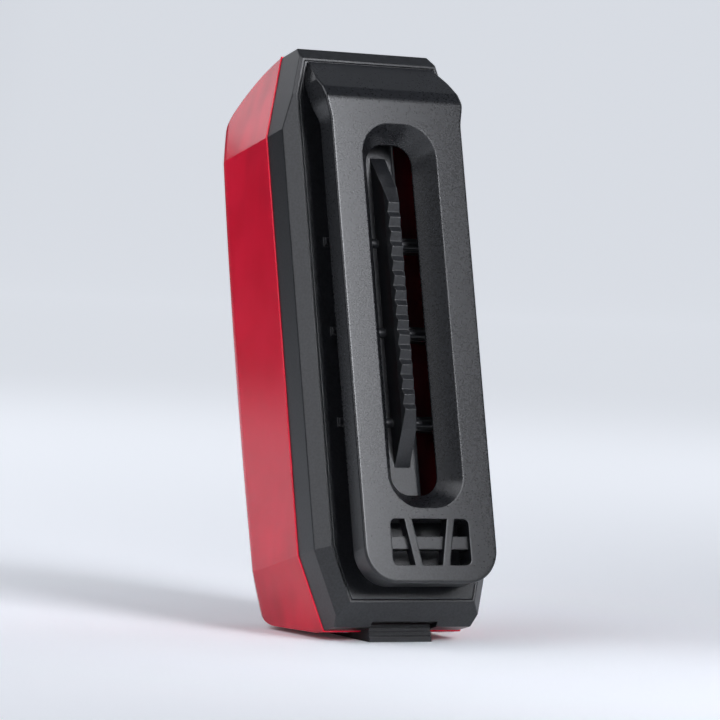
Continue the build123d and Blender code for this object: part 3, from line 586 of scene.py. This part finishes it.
def addFloor(settings):
    shape = bmesh.new()
    half, front, depth = settings["width"] / 2, settings["front"], settings["depth"]
    start = [shape.verts.new((side, front, 0)) for side in (-half, half)]
    result = bmesh.ops.extrude_edge_only(shape, edges=[shape.edges.new(start)])
    moved = [v for v in result["geom"] if isinstance(v, bmesh.types.BMVert)]
    bmesh.ops.translate(shape, verts=moved, vec=(0, -front - depth, 0))
    bend = [e for e in result["geom"] if isinstance(e, bmesh.types.BMEdge)]
    spun = bmesh.ops.spin(
        shape, geom=moved + bend, cent=(0, -depth, settings["sweepRadius"]), axis=(1, 0, 0),
        angle=-math.pi / 2, steps=settings["sweepSteps"], use_duplicate=False,
    )
    top = [e for e in spun["geom_last"] if isinstance(e, bmesh.types.BMEdge)]
    result = bmesh.ops.extrude_edge_only(shape, edges=top)
    risen = [v for v in result["geom"] if isinstance(v, bmesh.types.BMVert)]
    bmesh.ops.translate(shape, verts=risen, vec=(0, 0, settings["height"]))
    bmesh.ops.remove_doubles(shape, verts=shape.verts, dist=settings["mergeDistance"])
    bmesh.ops.recalc_face_normals(shape, faces=shape.faces)
    towardsCamera = Vector(cameraSettings["position"])
    turn = Matrix.Rotation(math.atan2(-towardsCamera.x, towardsCamera.y), 3, "Z")
    bmesh.ops.rotate(shape, verts=shape.verts, cent=(0, 0, 0), matrix=turn)
    mesh = bpy.data.meshes.new("floorSweep")
    shape.to_mesh(mesh)
    shape.free()
    for polygon in mesh.polygons:
        polygon.use_smooth = True
    floor = bpy.data.objects.new("floorSweep", mesh)
    scene.collection.objects.link(floor)
    mesh.materials.append(paintedFloor(settings))
    print("stage: floor with", len(mesh.polygons), "faces")


# Matt painted board: even and pale, with clouds in the paint too broad to notice
def paintedFloor(settings):
    material, tree, place = startFinish("mattPaintedBoard")
    cloud = addNode(tree, "TexNoise", {
        "Vector": place, "Scale": perMetre(settings["cloudMillimetres"]),
    })
    seen = addNode(tree, "LightPath", output="Is Camera Ray")
    for kind in ("Is Glossy Ray", "Is Transmission Ray"):
        ray = addNode(tree, "LightPath", output=kind)
        seen = addNode(tree, "Math", {0: seen, 1: ray}, operation="MAXIMUM")
    away = addNode(tree, "VectorMath", {0: place}, operation="LENGTH")
    reach = addNode(tree, "Math", {0: away, 1: -settings["glowReach"]}, operation="DIVIDE")
    near = addNode(tree, "Math", {0: reach}, operation="EXPONENT")
    glow = addNode(tree, "MapRange", {"Value": near, "To Min": settings["glow"], "To Max": 0})
    across = Vector((-cameraSettings["position"][1], cameraSettings["position"][0], 0)).normalized()
    side = addNode(tree, "VectorMath", {0: place, 1: across}, operation="DOT_PRODUCT")
    aside = addNode(tree, "Math", {0: side}, operation="ABSOLUTE")
    lane = addNode(tree, "MapRange", {
        "Value": aside, "From Min": settings["glowHalfWidth"][0],
        "From Max": settings["glowHalfWidth"][1], "To Min": 1, "To Max": settings["glowBeside"],
    }, interpolation_type="SMOOTHSTEP")
    inLane = addNode(tree, "Math", {0: glow, 1: lane}, operation="MULTIPLY")
    return closeFinish(material, {
        "Roughness": settings["roughness"],
        "Base Color": mixedTones(tree, cloud, settings["tones"]),
        "Emission Color": settings["glowColour"],
        "Emission Strength": addNode(tree, "Math", {0: seen, 1: inLane}, operation="MULTIPLY"),
    })


# Lamps: panelNear is what the clip's left half mirrors and its right half just misses, panelFront
# stands beyond the light on its lens's side, and the others are wide and soft
lampSettings = {
    "panelNear": {
        "position": (-0.039, 0.17, 0.16), "target": (0, 0, 0.075), "size": (0.075, 0.2),
        "watts": 0.137, "spreadDegrees": 75,
    },
    "panelLeft": {
        "position": (0.44, 0.29, 0.28), "target": (0, 0, 0.04), "size": (0.28, 0.46),
        "watts": 1.0, "spreadDegrees": 180,
    },
    "panelHigh": {
        "position": (0.36, -0.08, 0.5), "target": (0, 0, 0.04), "size": (0.42, 0.42),
        "watts": 1.4, "spreadDegrees": 180,
    },
    "panelRight": {
        "position": (-0.65, -0.15, 0.38), "target": (0, 0, 0.04), "size": (0.4, 0.4),
        "watts": 1.0, "spreadDegrees": 180,
    },
    "panelFront": {
        "position": (0.1, -0.7, 0.42), "target": (0, 0, 0.04), "size": (0.4, 0.4),
        "watts": 0.7, "spreadDegrees": 180,
    },
}
daylight = "#F6F8FE"
roomSettings = {"colour": "#DDE4EE", "strength": 0.1}


def addLamps():
    for name, lamp in lampSettings.items():
        data = bpy.data.lights.new(name, "AREA")
        data.shape = "RECTANGLE"
        data.size, data.size_y = lamp["size"]
        data.energy = lamp["watts"]
        data.spread = math.radians(lamp["spreadDegrees"])
        data.color = linearColour(daylight)[:3]
        holder = bpy.data.objects.new(name, data)
        holder.matrix_world = aimedAt(Vector(lamp["position"]), Vector(lamp["target"]))
        scene.collection.objects.link(holder)
    print("stage: lamps", ", ".join(lampSettings))


def addRoom(settings):
    world = bpy.data.worlds.new("evenRoom")
    world.use_nodes = True
    back = world.node_tree.nodes["Background"]
    back.inputs["Color"].default_value = linearColour(settings["colour"])
    back.inputs["Strength"].default_value = settings["strength"]
    scene.world = world


addCamera(cameraSettings)
dressNodes()
addSeamBead(beadSettings)
addFloor(floorSettings)
addLamps()
addRoom(roomSettings)
scene.view_settings.view_transform = "Standard"

print("stage: scene ready")
